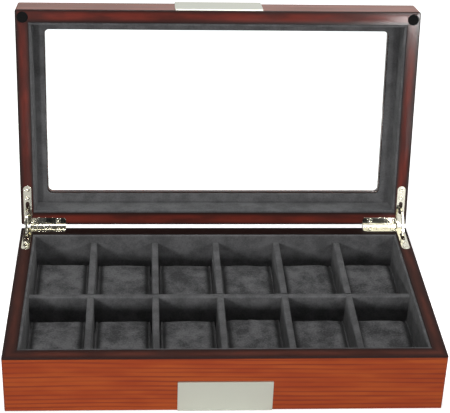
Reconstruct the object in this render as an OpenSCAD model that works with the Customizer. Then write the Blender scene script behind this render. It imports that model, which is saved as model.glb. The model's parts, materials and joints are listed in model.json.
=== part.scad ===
// Twelve-place wrist-watch display box with a glazed, hinged lid, shown open.
// Origin: middle of the underside. X to the right, Y to the rear, Z up.
// The lid is modelled closed on the base and then turned open about the hinge pins.

/* [Case] */
// Outside width of the case, left to right
case_w = 340; // [300:1:380]
// Outside depth of the case, front to rear
case_d = 191; // [176:1:230]
// Height of the base from the table to its rim
base_h = 51; // [46:0.5:70]
// Depth of the lid from its mating face to its top
lid_h = 30.3; // [28:0.1:40]
// Thickness of the wooden rails
wall_t = 11; // [10.5:0.1:14]
// Rounding of the long outer edges
edge_r = 1; // [0.4:0.1:2]
// Rounding of the upright corners
corner_r = 2; // [0.6:0.1:3]
// Rounding of the lid's upper edge
lid_edge_r = 2; // [0.5:0.1:3]
// Gap that the bumpers keep between the rims when the lid is shut
lid_gap = 1; // [0.8:0.1:2]
// Angle at which the stay arms stop the opened lid
lid_open = 100; // [92:1:104]

/* [Bottom] */
// Thickness of the felt sheet under the base
felt_t = 0.8; // [0.5:0.1:2]
// Distance from the felt's edge to the case's edge
felt_inset = 3; // [1:0.5:8]
// Corner radius of the felt sheet
felt_r = 3; // [1:0.5:6]
// Thickness of the bottom panel
panel_t = 5; // [3:0.5:6]
// Width of the rebate that the bottom panel sits in
rebate_w = 5; // [3:0.5:7]
// Play around the bottom panel in its rebate
panel_play = 0.1; // [0.05:0.05:0.4]

/* [Lining] */
// Thickness of the cloth-covered lining boards
lining_t = 2.3; // [1.8:0.1:3.5]
// Rounding of the lining boards' free edge
lining_r = 0.85; // [0.4:0.05:0.85]
// Distance from the rim down to the lining boards' upper edge
lining_drop = 0.3; // [0.1:0.1:1]
// Thickness of the cloth-covered floor board
floor_t = 2.2; // [1.5:0.1:4]
// Thickness of the short dividers, which run front to rear
cross_t = 5.5; // [4:0.1:7]
// Thickness of the long divider, which runs left to right
long_t = 5; // [4:0.1:7]
// Distance from the rim down to the dividers' upper edge
divider_drop = 7.4; // [6:0.1:14]
// Rounding of the dividers' upper edges
divider_r = 1.4; // [0.5:0.1:1.9]
// Play of the dividers in each other's slots and between the linings
divider_play = 0.15; // [0.05:0.05:0.4]

/* [Cushions] */
// Height of a cushion at the middle of its crown
cushion_h = 17; // [14:0.5:26]
// Free space on each side of a cushion
cushion_side_gap = 1.1; // [0.8:0.1:4]
// Free space before and behind a cushion
cushion_end_gap = 2.4; // [0.8:0.1:4]
// Free space between a cushion and the floor board
cushion_seat_gap = 0.3; // [0.2:0.05:0.6]
// Width of the stiffened strip along each side of a cushion
strip_w = 1.6; // [1.4:0.1:3]
// How far the strip lies below the crown
strip_drop = 0.8; // [0.5:0.1:4]
// How far the strip's outer edge leans in above the widest place
strip_lean = 0.3; // [0.2:0.1:1]
// Depth of the seam groove beside the strip
groove_d = 2.2; // [1:0.1:3]
// Width of the seam groove, from the strip to the crown's shoulder
groove_w = 3.4; // [1:0.1:5]
// How far the crown falls from the middle to its shoulder
crown_fall = 0.9; // [0.5:0.1:3]
// How far the sides draw in towards the floor
draw_in = 1.4; // [0.4:0.1:2]
// Height of a cushion's widest place, as a share of its height
belly = 0.45; // [0.3:0.05:0.6]
// How much narrower a cushion is at its ends, as a share of its width
end_taper = 0.02; // [0.01:0.01:0.08]
// Squareness of the cushion's rounded ends
end_power = 9; // [3:0.5:12]

/* [Glazing] */
// Thickness of the wooden frame on top of the lid
top_t = 5; // [4:0.5:8]
// Width of the top frame from the case's edge to its opening, left and right
top_border_x = 22.5; // [20:0.5:34]
// Width of the top frame from the case's edge to its opening, front and rear
top_border_y = 22; // [20:0.5:34]
// Corner radius of the opening
opening_r = 4; // [2:0.5:8]
// Thickness of the glass
glass_t = 2.3; // [2:0.1:4]
// Play between the glass or its retainer and the lid's rails
glass_play = 0.5; // [0.3:0.1:1.5]
// Thickness of the cloth-covered retainer that holds the glass
retainer_t = 1.6; // [1:0.1:3]
// How far the retainer's opening stands back from the frame's
retainer_lip = 0.6; // [0.2:0.1:2]

/* [Plates] */
// Width of the two bare metal plates on the front
plate_w = 73.6; // [50:0.1:120]
// Thickness of the plates
plate_t = 1.2; // [0.8:0.1:2.5]
// Height of the base's plate
base_plate_h = 27.5; // [15:0.5:34]
// Distance from the case's lower or mating edge to a plate
plate_margin = 0.6; // [0.4:0.1:3]
// Corner radius of the plates
plate_r = 0.6; // [0.3:0.1:3]

/* [Bumpers] */
// Diameter of the lid's rubber bumpers
bumper_d = 9.4; // [6:0.1:9.6]
// Thickness of the bumpers
bumper_t = 0.75; // [0.4:0.05:0.75]
// Distance from the lid's side to a bumper's centre
bumper_side = 6.2; // [5.6:0.1:7]
// Distance from the lid's front to a bumper's centre
bumper_front = 6.6; // [5.6:0.1:9]

/* [Hinges] */
// Distance from the rear face back to the pin's axis
axis_back = 1.3; // [1:0.1:1.8]
// Radius of the hinge knuckles
knuckle_r = 2.4; // [2:0.1:2.4]
// Radial gap between a knuckle and the wood or leaf that turns about it
knuckle_play = 0.2; // [0.1:0.05:0.3]
// Length of the whole barrel
barrel_l = 31; // [20:0.5:40]
// Axial gap between two knuckles
knuckle_gap = 0.3; // [0.2:0.05:0.6]
// Radius of the hinge pin
pin_r = 1.2; // [0.8:0.05:1.3]
// Radial running clearance of the pin
pin_clear = 0.05; // [0.02:0.01:0.1]
// Thickness of the leaves
leaf_t = 1.2; // [0.8:0.1:1.6]
// Width of the leaf's side leg
side_leg_w = 7; // [6.6:0.1:7.5]
// Length of the side leg from the rear face
side_leg_l = 36; // [34:0.5:50]
// Width of the leaf's rear leg
rear_leg_w = 6.4; // [6:0.1:8]
// Length of the rear leg, from the side leg's outer edge
rear_leg_l = 36.5; // [34:0.5:60]
// Distance from the case's side to the side leg
leg_inset = 2.5; // [2:0.1:3]
// Corner radius at the rear leg's end
leaf_r = 2.5; // [1.5:0.1:2.8]
// Play of a leaf in its recess
leaf_play = 0.1; // [0.05:0.05:0.3]

/* [Hinge screws] */
// Radius of a screw's head
head_r = 2.2; // [1.8:0.1:2.4]
// Depth of a screw's countersunk head
head_h = 1; // [0.6:0.1:1]
// Radius of a screw's shank
shank_r = 1; // [0.7:0.1:1.3]
// Length of a screw
screw_l = 8; // [5:0.5:12]
// Play around a screw in the leaf and in the wood
screw_play = 0.05; // [0.02:0.01:0.2]
// Distance from the leg's end to the first screw's centre
screw_end = 3.3; // [2.8:0.1:4]
// Distance between the two screws of the side leg
screw_step = 7.6; // [5:0.1:8]
// Distance between the two screws of the rear leg
rear_screw_step = 21.1; // [12:0.1:24]
// Distance from the rear leg's end to its first screw's centre
rear_screw_end = 6.8; // [3:0.1:8]
// Distance from the rear leg's inner edge to its screws' centres
rear_screw_in = 2.8; // [2.6:0.1:2.9]

/* [Stay arms] */
// Radius of the arm's middle line about the pin's axis
arm_r = 17; // [16:0.5:18]
// Radial width of the arm
arm_t = 3; // [2:0.1:3.6]
// Thickness of the arm
arm_w = 1.8; // [1:0.1:2.4]
// Radius of the stop studs at the arm's ends
stud_r = 1; // [0.6:0.1:1.4]
// Length of the stop studs
stud_l = 5; // [4.4:0.1:5.4]
// Metal that is left between a stud and the arm's end
stud_wall = 0.6; // [0.3:0.1:1]
// Gap between a stud and the leaf when the lid stands open
stop_gap = 0.3; // [0.2:0.05:0.5]
// Width of the slot in the leaf
slot_w = 3.4; // [2.8:0.1:3.8]
// Length of the slot in the leaf
slot_l = 11.4; // [8:0.2:12]
// Play of the arm and its studs in the wood's pocket
pocket_play = 0.35; // [0.3:0.05:0.6]
// Angle by which the pocket runs on past the arm's end
pocket_run = 2; // [1:0.5:4]

/* [Hidden] */
columns = 6;
knuckles = 5;
stations = 10;
crown_steps = 4;
// A cushion's narrowing towards its ends grows with this power of the distance
taper_power = 8;
// Where the first and last rings lie, just short of the ends, where the height falls to nothing
end_ring = 0.992;
// How far neighbouring forms overlap, and how far a cut runs past the face that it cuts
eps = 0.01;
over = 1;
round_fn = 48;

wood = "#9C4426";
dark_wood = "#4A2620";
cloth = "#4C4C4C";
felt = "#2A2A2A";
metal = "#C9C9BE";
nickel = "#D6D6D0";
rubber = "#161616";
pane = [0.85, 0.92, 0.92, 0.35];

// Heights, from the table up
rail_z = felt_t;
panel_top = rail_z + panel_t;
floor_top = panel_top + floor_t;
divider_top = base_h - divider_drop;
lid_z = base_h + lid_gap;
lid_rail_h = lid_h - top_t;
top_z = lid_z + lid_rail_h;
glass_z = top_z - glass_t;
retainer_z = glass_z - retainer_t;

// Clear spaces inside the rails and inside the linings
inner_w = case_w - 2 * wall_t;
inner_d = case_d - 2 * wall_t;
room_w = inner_w - 2 * lining_t;
room_d = inner_d - 2 * lining_t;
cell_w = (room_w - (columns - 1) * cross_t) / columns;
cell_d = (room_d - long_t) / 2;
cell_pitch = cell_w + cross_t;

cushion_w = cell_w - 2 * cushion_side_gap;
cushion_l = cell_d - 2 * cushion_end_gap;

// Hinge axis, and the places that follow from it, for the hinge at +X
axis_y = case_d / 2 + axis_back;
axis_z = base_h + lid_gap / 2;
leg_x1 = case_w / 2 - leg_inset;
leg_x0 = leg_x1 - side_leg_w;
leg_mid = (leg_x0 + leg_x1) / 2;
rear_leg_x0 = leg_x1 - rear_leg_l;
knuckle_l = (barrel_l - (knuckles - 1) * knuckle_gap) / knuckles;
knuckle_pitch = knuckle_l + knuckle_gap;
side_leg_y0 = case_d / 2 - side_leg_l;
rear_screw_x = rear_leg_x0 + rear_screw_end;
rear_screw_y = case_d / 2 - rear_leg_w + rear_screw_in;
screw_places = [
    [leg_mid, side_leg_y0 + screw_end],
    [leg_mid, side_leg_y0 + screw_end + screw_step],
    [rear_screw_x, rear_screw_y],
    [rear_screw_x + rear_screw_step, rear_screw_y]
];

// The arm turns half as far as the lid, so each end leaves its leaf by the same amount
stud_drop = lid_gap / 2 + leaf_t + stop_gap + stud_r;
stud_angle = lid_open / 2 + asin(stud_drop / arm_r);
arm_angle = stud_angle + (stud_r + stud_wall) / arm_r * 180 / PI;
pocket_angle = arm_angle + pocket_run;

cushion_names = [
    for (row = ["rear", "front"], i = [1:columns]) str("cushion_", row, "_", i)
];
divider_names = [for (i = [1:columns - 1]) str("cross_divider_", i)];

// Turns what was drawn on the closed box to where it is with the lid open
module turned(angle) {
    translate([0, axis_y, axis_z]) rotate([-angle, 0, 0]) translate([0, -axis_y, -axis_z]) children();
}

// Draws the hinge at +X as it is, or mirrored to -X
module on_side(side) {
    if (side > 0) children();
    else mirror([1, 0, 0]) children();
}

// Mirrors the base's side of the hinge into the lid, about the pin's height
module lid_side() {
    translate([0, 0, 2 * axis_z]) mirror([0, 0, 1]) children();
}

module box_between(low, high) {
    translate(low) cube(high - low);
}

// Rectangle with round corners, centred, made of true arcs
module round_rect(w, d, r) {
    square([w - 2 * r, d], center = true);
    square([w, d - 2 * r], center = true);
    for (x = [-1, 1], y = [-1, 1])
        translate([x * (w / 2 - r), y * (d / 2 - r)]) circle(r = r, $fn = round_fn);
}

module round_slab(w, d, r, z0, z1) {
    translate([0, 0, z0]) linear_extrude(z1 - z0) round_rect(w, d, r);
}

// Board profile w wide and h high on the origin, its two upper corners rounded
module soft_top(w, h, r) {
    square([w, h - r]);
    translate([r, 0]) square([w - 2 * r, h]);
    for (x = [r, w - r]) translate([x, h - r]) circle(r = r, $fn = round_fn);
}

// Board along X with a rounded upper edge
module board_x(low, high, r) {
    translate([low[0], low[1], low[2]])
        rotate([90, 0, 90])
            linear_extrude(high[0] - low[0]) soft_top(high[1] - low[1], high[2] - low[2], r);
}

// Board along Y with a rounded upper edge
module board_y(low, high, r) {
    translate([low[0], high[1], low[2]])
        rotate([90, 0, 0])
            linear_extrude(high[1] - low[1]) soft_top(high[0] - low[0], high[2] - low[2], r);
}

// Profile of a rail, outer face at u = 0: outer edges rounded and inner edge notched as asked
module rail_profile(h, r_low, r_high, notch_w, notch_h) {
    difference() {
        square([wall_t, h]);
        if (notch_w > 0)
            translate([wall_t - notch_w, -eps]) square([notch_w + eps, notch_h + eps]);
        for (corner = [[r_low, 0], [r_high, 1]]) {
            r = corner[0];
            if (r > 0) translate([0, corner[1] * h]) difference() {
                square([2 * r, 2 * r], center = true);
                translate([r, (1 - 2 * corner[1]) * r]) circle(r = r, $fn = round_fn);
            }
        }
    }
}

// Rail at the front of a case w by d, mitred at both ends
module front_rail(w, d, z, h, r_low, r_high, notch_w, notch_h) {
    intersection() {
        translate([-w / 2, -d / 2, z])
            rotate([90, 0, 90])
                linear_extrude(w) rail_profile(h, r_low, r_high, notch_w, notch_h);
        translate([0, 0, z - eps]) linear_extrude(h + 2 * eps) polygon([
            [-w / 2, -d / 2],
            [w / 2, -d / 2],
            [w / 2 - wall_t, wall_t - d / 2],
            [wall_t - w / 2, wall_t - d / 2]
        ]);
        round_slab(w, d, corner_r, z - eps, z + h + eps);
    }
}

// Any of the four rails: turn 0 front, 1 right, 2 rear, 3 left
module rail(turn, z, h, r_low, r_high, notch_w, notch_h) {
    across = turn % 2 == 1;
    rotate([0, 0, 90 * turn]) front_rail(
        across ? case_d : case_w, across ? case_w : case_d,
        z, h, r_low, r_high, notch_w, notch_h
    );
}

module base_rail(turn) {
    difference() {
        rail(turn, rail_z, base_h - rail_z, edge_r, edge_r, rebate_w, panel_t);
        if (turn > 0) hinge_cuts(turn);
    }
}

module lid_rail(turn) {
    turned(lid_open) difference() {
        rail(turn, lid_z, lid_rail_h, edge_r, 0, 0, 0);
        if (turn > 0) lid_side() hinge_cuts(turn);
    }
}

// What the hinges need cut out of the rear rail and the two side rails
module hinge_cuts(turn) {
    if (turn != 3) leaf_recess();
    if (turn != 1) mirror([1, 0, 0]) leaf_recess();
}

// Outline of a leaf, grown all round by play and run on past the rear face by beyond
module leaf_outline(play, beyond) {
    side_r = side_leg_w / 2 + play;
    rear_r = leaf_r + play;
    translate([leg_mid, side_leg_y0 + side_leg_w / 2]) circle(r = side_r, $fn = round_fn);
    translate([leg_mid - side_r, side_leg_y0 + side_leg_w / 2])
        square([2 * side_r, side_leg_l - side_leg_w / 2 + beyond]);
    translate([rear_leg_x0 - play + rear_r, case_d / 2 - rear_leg_w - play])
        square([rear_leg_l - side_leg_w / 2 + play - rear_r, rear_leg_w + play + beyond]);
    translate([rear_leg_x0 - play, case_d / 2 - rear_leg_w - play + rear_r])
        square([2 * rear_r, rear_leg_w + play - rear_r + beyond]);
    translate([rear_leg_x0 - play + rear_r, case_d / 2 - rear_leg_w - play + rear_r])
        circle(r = rear_r, $fn = round_fn);
}

// Recess for a leaf, groove for the knuckles, pilot holes and the curved pocket of the stay arm
module leaf_recess() {
    translate([0, 0, base_h - leaf_t]) linear_extrude(leaf_t + lid_gap)
        leaf_outline(leaf_play, leaf_play);
    axis_bar(rear_leg_x0 - leaf_play, barrel_l + 2 * leaf_play, knuckle_r + knuckle_play);
    for (p = screw_places)
        translate([p[0], p[1], base_h - screw_l - screw_play])
            cylinder(r = shank_r + screw_play, h = screw_l, $fn = round_fn);
    arc_bar(
        arm_r - arm_t / 2 - pocket_play, arm_r + arm_t / 2 + pocket_play,
        stud_l + 2 * pocket_play, 0, pocket_angle
    );
}

// Part of a ring about the hinge axis, from angle low to high below the pin's height
module arc_bar(r0, r1, w, low, high) {
    translate([leg_mid, axis_y, axis_z])
        rotate([0, 90, 0])
            rotate([0, 0, -90 + low])
                rotate_extrude(angle = high - low, $fn = 2 * round_fn)
                    translate([r0, -w / 2]) square([r1 - r0, w]);
}

// Round bar of length l and radius r along the hinge axis, from x on
module axis_bar(x, l, r) {
    translate([x, axis_y, axis_z]) rotate([0, 90, 0]) cylinder(r = r, h = l, $fn = round_fn);
}

// Leaf plate, cut away in a round about the other leaf's knuckles
module leaf_plate(first) {
    difference() {
        translate([0, 0, base_h - leaf_t]) linear_extrude(leaf_t) leaf_outline(0, 0);
        for (i = [1 - first:2:knuckles - 1]) axis_bar(
            rear_leg_x0 + i * knuckle_pitch - knuckle_gap,
            knuckle_l + 2 * knuckle_gap,
            knuckle_r + knuckle_play
        );
    }
}

// Base leaf of the hinge at +X: an L-shaped plate whose rear edge is rolled into the knuckles
module leaf(first) {
    difference() {
        union() {
            leaf_plate(first);
            for (i = [first:2:knuckles - 1])
                axis_bar(rear_leg_x0 + i * knuckle_pitch, knuckle_l, knuckle_r);
        }
        axis_bar(rear_leg_x0 - over, barrel_l + 2 * over, pin_r + pin_clear);
        for (p = screw_places) {
            translate([p[0], p[1], base_h - leaf_t - over])
                cylinder(r = shank_r + screw_play, h = leaf_t + 2 * over, $fn = round_fn);
            translate([p[0], p[1], base_h - head_h]) cylinder(
                r1 = shank_r + screw_play, r2 = head_r + screw_play, h = head_h + eps, $fn = round_fn
            );
        }
        translate([leg_mid, axis_y - arm_r, base_h - leaf_t - over])
            linear_extrude(leaf_t + 2 * over) round_rect(slot_w, slot_l, slot_w / 2 - eps);
    }
}

// Countersunk screws of one leaf
module leaf_screws() {
    for (p = screw_places) translate([p[0], p[1], base_h]) {
        translate([0, 0, -head_h]) cylinder(r1 = shank_r, r2 = head_r, h = head_h, $fn = round_fn);
        translate([0, 0, -screw_l]) cylinder(r = shank_r, h = screw_l - head_h + eps, $fn = round_fn);
    }
}

module hinge_base_leaf(side) {
    color(nickel) on_side(side) leaf(0);
}

module hinge_lid_leaf(side) {
    color(nickel) turned(lid_open) on_side(side) lid_side() leaf(1);
}

module hinge_pin(side) {
    color(nickel) on_side(side) axis_bar(rear_leg_x0, barrel_l, pin_r);
}

module hinge_screws_base() {
    color(nickel) for (side = [-1, 1]) on_side(side) leaf_screws();
}

module hinge_screws_lid() {
    color(nickel) turned(lid_open) for (side = [-1, 1]) on_side(side) lid_side() leaf_screws();
}

// Quadrant stay: a curved bar about the hinge axis with a stop stud across each end
module stay_arm(side) {
    color(nickel) turned(lid_open / 2) on_side(side) {
        arc_bar(arm_r - arm_t / 2, arm_r + arm_t / 2, arm_w, -arm_angle, arm_angle);
        for (a = [-stud_angle, stud_angle])
            translate([leg_mid - stud_l / 2, axis_y - arm_r * cos(a), axis_z + arm_r * sin(a)])
                rotate([0, 90, 0]) cylinder(r = stud_r, h = stud_l, $fn = round_fn);
    }
}

module base_front_rail() {
    color(wood) base_rail(0);
}

module base_right_rail() {
    color(wood) base_rail(1);
}

module base_rear_rail() {
    color(wood) base_rail(2);
}

module base_left_rail() {
    color(wood) base_rail(3);
}

module bottom_panel() {
    w = inner_w + 2 * (rebate_w - panel_play);
    d = inner_d + 2 * (rebate_w - panel_play);
    color(dark_wood) box_between([-w / 2, -d / 2, rail_z], [w / 2, d / 2, panel_top]);
}

module bottom_felt() {
    color(felt) round_slab(case_w - 2 * felt_inset, case_d - 2 * felt_inset, felt_r, 0, felt_t);
}

module floor_board() {
    w = room_w - 2 * divider_play;
    d = room_d - 2 * divider_play;
    color(cloth) box_between([-w / 2, -d / 2, panel_top], [w / 2, d / 2, floor_top]);
}

module base_plate() {
    color(metal) translate([0, -case_d / 2, rail_z + plate_margin + base_plate_h / 2])
        rotate([90, 0, 0]) linear_extrude(plate_t) round_rect(plate_w, base_plate_h, plate_r);
}

// Four lining boards from height z0 to z1: front and rear run through, the others fit between
module lining(turn, z0, z1) {
    if (turn % 2 == 0) {
        y0 = turn == 0 ? -inner_d / 2 : room_d / 2;
        board_x([-inner_w / 2, y0, z0], [inner_w / 2, y0 + lining_t, z1], lining_r);
    } else {
        x0 = turn == 1 ? room_w / 2 : -inner_w / 2;
        board_y([x0, -room_d / 2, z0], [x0 + lining_t, room_d / 2, z1], lining_r);
    }
}

module base_lining(turn) {
    color(cloth) lining(turn, panel_top, base_h - lining_drop);
}

// The lid's lining hangs the other way up, its rounded edge at the mating face
module lid_lining(turn) {
    color(cloth) turned(lid_open) translate([0, 0, retainer_z + lid_z + lining_drop])
        mirror([0, 0, 1]) lining(turn, lid_z + lining_drop, retainer_z);
}

// The long divider is slotted from below and the short ones from above
module long_divider() {
    half = room_w / 2 - divider_play;
    slot = cross_t + 2 * divider_play;
    middle = (floor_top + divider_top) / 2;
    color(cloth) difference() {
        board_x([-half, -long_t / 2, floor_top], [half, long_t / 2, divider_top], divider_r);
        for (i = [1:columns - 1]) {
            x = (i - columns / 2) * cell_pitch;
            box_between(
                [x - slot / 2, -long_t, floor_top - over],
                [x + slot / 2, long_t, middle + divider_play]
            );
        }
    }
}

module cross_divider(i) {
    x = (i - columns / 2) * cell_pitch;
    half = room_d / 2 - divider_play;
    slot = long_t + 2 * divider_play;
    middle = (floor_top + divider_top) / 2;
    color(cloth) difference() {
        board_y(
            [x - cross_t / 2, -half, floor_top], [x + cross_t / 2, half, divider_top], divider_r
        );
        box_between(
            [x - cross_t, -slot / 2, middle - divider_play],
            [x + cross_t, slot / 2, divider_top + over]
        );
    }
}

// Right half of a cushion's cross-section, from the floor over the strip to the crown
function cushion_half(w, h) =
    let (
        top = h - strip_drop,
        edge = w / 2 - strip_w,
        shoulder = edge - groove_w
    ) concat(
        [
            [w / 2 - draw_in, 0],
            [w / 2, h * belly],
            [w / 2 - strip_lean, top],
            [edge, top],
            [edge - groove_w / 4, top - groove_d]
        ],
        [
            for (k = [crown_steps:-1:1])
                let (u = k / crown_steps) [shoulder * u, h - crown_fall * u * u]
        ]
    );

// The whole cross-section as a closed ring, scaled by width wf and height hf
function cushion_ring(y, wf, hf) =
    let (
        half = cushion_half(cushion_w, cushion_h),
        last = len(half) - 1
    ) [
        for (p = half) [p[0] * wf, y, p[1] * hf],
        [0, y, cushion_h * hf],
        for (k = [last:-1:0]) [-half[k][0] * wf, y, half[k][1] * hf]
    ];

// Height of the cushion along its length: full in the middle, rounded off at the ends
function end_height(v) = pow(1 - pow(abs(v), end_power), 1 / end_power);

// Closed cushion: rings from front to rear, closer together towards the rounded ends
module cushion_form() {
    v = [for (k = [0:stations]) end_ring * sin(90 * (2 * k / stations - 1))];
    rings = [
        for (t = v)
            cushion_ring(t * cushion_l / 2, 1 - end_taper * pow(abs(t), taper_power), end_height(t))
    ];
    n = len(rings[0]);
    points = [for (ring = rings, p = ring) p];
    sides = [
        for (k = [0:stations - 1], i = [0:n - 1])
            let (
                a = k * n + i,
                b = k * n + (i + 1) % n
            ) each [[a, a + n, b], [b, a + n, b + n]]
    ];
    ends = [[for (i = [0:n - 1]) i], [for (i = [n - 1:-1:0]) stations * n + i]];
    polyhedron(points = points, faces = concat(sides, ends));
}

module cushion(row, i) {
    x = (i - (columns + 1) / 2) * cell_pitch;
    y = row * (long_t + cell_d) / 2;
    color(cloth) translate([x, y, floor_top + cushion_seat_gap]) cushion_form();
}

module lid_front_rail() {
    color(wood) lid_rail(0);
}

module lid_right_rail() {
    color(wood) lid_rail(1);
}

module lid_rear_rail() {
    color(wood) lid_rail(2);
}

module lid_left_rail() {
    color(wood) lid_rail(3);
}

// Profile along one side of the lid's top: w wide, its two upper corners rounded
module top_profile(w) {
    translate([-w / 2, 0]) soft_top(w, top_t, lid_edge_r);
}

module lid_top_frame() {
    color(wood) turned(lid_open) difference() {
        intersection() {
            translate([0, case_d, top_z]) rotate([90, 0, 0]) linear_extrude(2 * case_d) top_profile(case_w);
            translate([-case_w, 0, top_z]) rotate([90, 0, 90]) linear_extrude(2 * case_w) top_profile(case_d);
            round_slab(case_w, case_d, corner_r, top_z - over, top_z + top_t + over);
        }
        round_slab(
            case_w - 2 * top_border_x, case_d - 2 * top_border_y, opening_r,
            top_z - over, top_z + top_t + over
        );
    }
}

module glass_pane() {
    w = inner_w - 2 * glass_play;
    d = inner_d - 2 * glass_play;
    color(pane) turned(lid_open)
        box_between([-w / 2, -d / 2, glass_z], [w / 2, d / 2, glass_z + glass_t]);
}

module glass_retainer() {
    w = inner_w - 2 * glass_play;
    d = inner_d - 2 * glass_play;
    color(cloth) turned(lid_open) difference() {
        box_between([-w / 2, -d / 2, retainer_z], [w / 2, d / 2, glass_z]);
        round_slab(
            case_w - 2 * (top_border_x - retainer_lip), case_d - 2 * (top_border_y - retainer_lip),
            opening_r, retainer_z - over, glass_z + over
        );
    }
}

module lid_plate() {
    plate_h = lid_h - 2 * plate_margin;
    color(metal) turned(lid_open) translate([0, -case_d / 2, lid_z + lid_h / 2])
        rotate([90, 0, 0]) linear_extrude(plate_t) round_rect(plate_w, plate_h, plate_r);
}

// Rubber disc with a softened rim on the lid's mating face
module lid_bumper(side) {
    soft = bumper_t / 2;
    color(rubber) turned(lid_open)
        translate([side * (case_w / 2 - bumper_side), bumper_front - case_d / 2, lid_z])
            mirror([0, 0, 1]) rotate_extrude($fn = round_fn) {
                square([bumper_d / 2 - soft, bumper_t]);
                square([bumper_d / 2, bumper_t - soft]);
                intersection() {
                    translate([bumper_d / 2 - soft, bumper_t - soft]) circle(r = soft, $fn = round_fn);
                    square([bumper_d, bumper_t]);
                }
            }
}

base_front_rail();
base_rear_rail();
base_left_rail();
base_right_rail();
bottom_panel();
bottom_felt();
floor_board();
base_plate();
base_lining(0);  // base_lining_front
base_lining(1);  // base_lining_right
base_lining(2);  // base_lining_rear
base_lining(3);  // base_lining_left
long_divider();
for (i = [1:columns - 1]) cross_divider(i);
for (i = [1:columns]) cushion(1, i);
for (i = [1:columns]) cushion(-1, i);
lid_front_rail();
lid_rear_rail();
lid_left_rail();
lid_right_rail();
lid_top_frame();
glass_pane();
glass_retainer();
lid_plate();
lid_bumper(-1);  // lid_bumper_left
lid_bumper(1);  // lid_bumper_right
lid_lining(0);  // lid_lining_front
lid_lining(1);  // lid_lining_right
lid_lining(2);  // lid_lining_rear
lid_lining(3);  // lid_lining_left
hinge_base_leaf(-1);  // hinge_base_leaf_left
hinge_base_leaf(1);  // hinge_base_leaf_right
hinge_lid_leaf(-1);  // hinge_lid_leaf_left
hinge_lid_leaf(1);  // hinge_lid_leaf_right
hinge_pin(-1);  // hinge_pin_left
hinge_pin(1);  // hinge_pin_right
hinge_screws_base();
hinge_screws_lid();
stay_arm(-1);  // stay_arm_left
stay_arm(1);  // stay_arm_right
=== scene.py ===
# %% [markdown]
# A wooden watch box stands open. Its rails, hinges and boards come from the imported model, already at
# their real size and place. Blender gives them their finish here, and it makes what a plain solid
# can't show: twelve soft cushions and the crossed screw heads of the hinges.

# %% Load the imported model
import json
import math
import bpy
import numpy as np
from mathutils import Matrix, Vector


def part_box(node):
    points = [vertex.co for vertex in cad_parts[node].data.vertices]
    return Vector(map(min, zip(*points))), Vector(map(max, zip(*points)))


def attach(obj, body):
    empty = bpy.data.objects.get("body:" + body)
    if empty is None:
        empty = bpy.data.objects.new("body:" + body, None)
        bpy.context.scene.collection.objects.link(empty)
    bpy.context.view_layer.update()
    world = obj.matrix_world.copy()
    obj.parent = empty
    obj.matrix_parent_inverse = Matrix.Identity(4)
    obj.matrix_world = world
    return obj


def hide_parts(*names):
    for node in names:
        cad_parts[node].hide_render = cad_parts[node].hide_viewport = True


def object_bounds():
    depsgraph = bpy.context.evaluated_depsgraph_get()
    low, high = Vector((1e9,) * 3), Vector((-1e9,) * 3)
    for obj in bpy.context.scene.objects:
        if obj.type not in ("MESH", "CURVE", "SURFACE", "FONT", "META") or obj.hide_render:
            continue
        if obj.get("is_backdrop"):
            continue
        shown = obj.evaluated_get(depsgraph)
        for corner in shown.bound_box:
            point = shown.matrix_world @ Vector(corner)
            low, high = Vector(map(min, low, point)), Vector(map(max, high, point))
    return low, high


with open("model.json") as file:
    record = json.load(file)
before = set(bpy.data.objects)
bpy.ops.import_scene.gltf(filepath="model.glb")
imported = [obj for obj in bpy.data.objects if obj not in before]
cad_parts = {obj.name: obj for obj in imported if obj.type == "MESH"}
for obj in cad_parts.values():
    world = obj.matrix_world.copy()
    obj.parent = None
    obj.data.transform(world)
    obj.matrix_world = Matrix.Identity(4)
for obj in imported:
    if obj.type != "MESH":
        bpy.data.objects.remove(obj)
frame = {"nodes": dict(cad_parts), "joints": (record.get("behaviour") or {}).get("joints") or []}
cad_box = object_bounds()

MM = 0.001
scene = bpy.context.scene
nodes = frame["nodes"]

# %% [markdown]
# The lid was drawn shut and then turned open about the hinge pins. Grain and stain have to follow the
# lid, so a pattern is easier to write for the shut lid. Turning a point back about the same pins, by
# the same angle, gives its place on the shut lid.

# %% The hinge axis and the turn that shuts the lid
hinge = next(j for j in frame["joints"] if j["name"] == "lid_hinge")
axis_y, axis_z = hinge["pos_m"][1:]
lid_open = math.radians(hinge["range_deg"][1] - hinge["range_deg"][0])
about_pins = Matrix.Translation((0, axis_y, axis_z))
shut = about_pins @ Matrix.Rotation(lid_open, 4, "X") @ about_pins.inverted()
print("lid stands open by", round(math.degrees(lid_open)), "degrees")


# %% The measures that the finishes need, from the nodes
def corners_of(name, turn):
    """The vertices of a CAD node as one array, each moved by the matrix turn."""
    mesh = nodes[name].data
    corners = np.empty(len(mesh.vertices) * 3)
    mesh.vertices.foreach_get("co", corners)
    return corners.reshape(-1, 3) @ np.array(turn.to_3x3()).T + np.array(turn.translation)


rail_low, rail_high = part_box("base_front_rail")
half_w = rail_high.x
half_d = -rail_low.y
rim_z = rail_high.z
wall = rail_high.y - rail_low.y
lid_z = 2 * axis_z - rim_z
top_z = corners_of("lid_top_frame", shut)[:, 2].max()
print("case", round(2 * half_w / MM), "x", round(2 * half_d / MM), "mm, rim at", round(rim_z / MM), "mm")

# %% [markdown]
# The photograph was taken from in front, a little to the left and well above the box. The camera below
# was worked out from the corners of the base and of the opened lid, which are all straight edges of
# known length. Its small shift stands for a picture that was trimmed a little more on one side.

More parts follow.
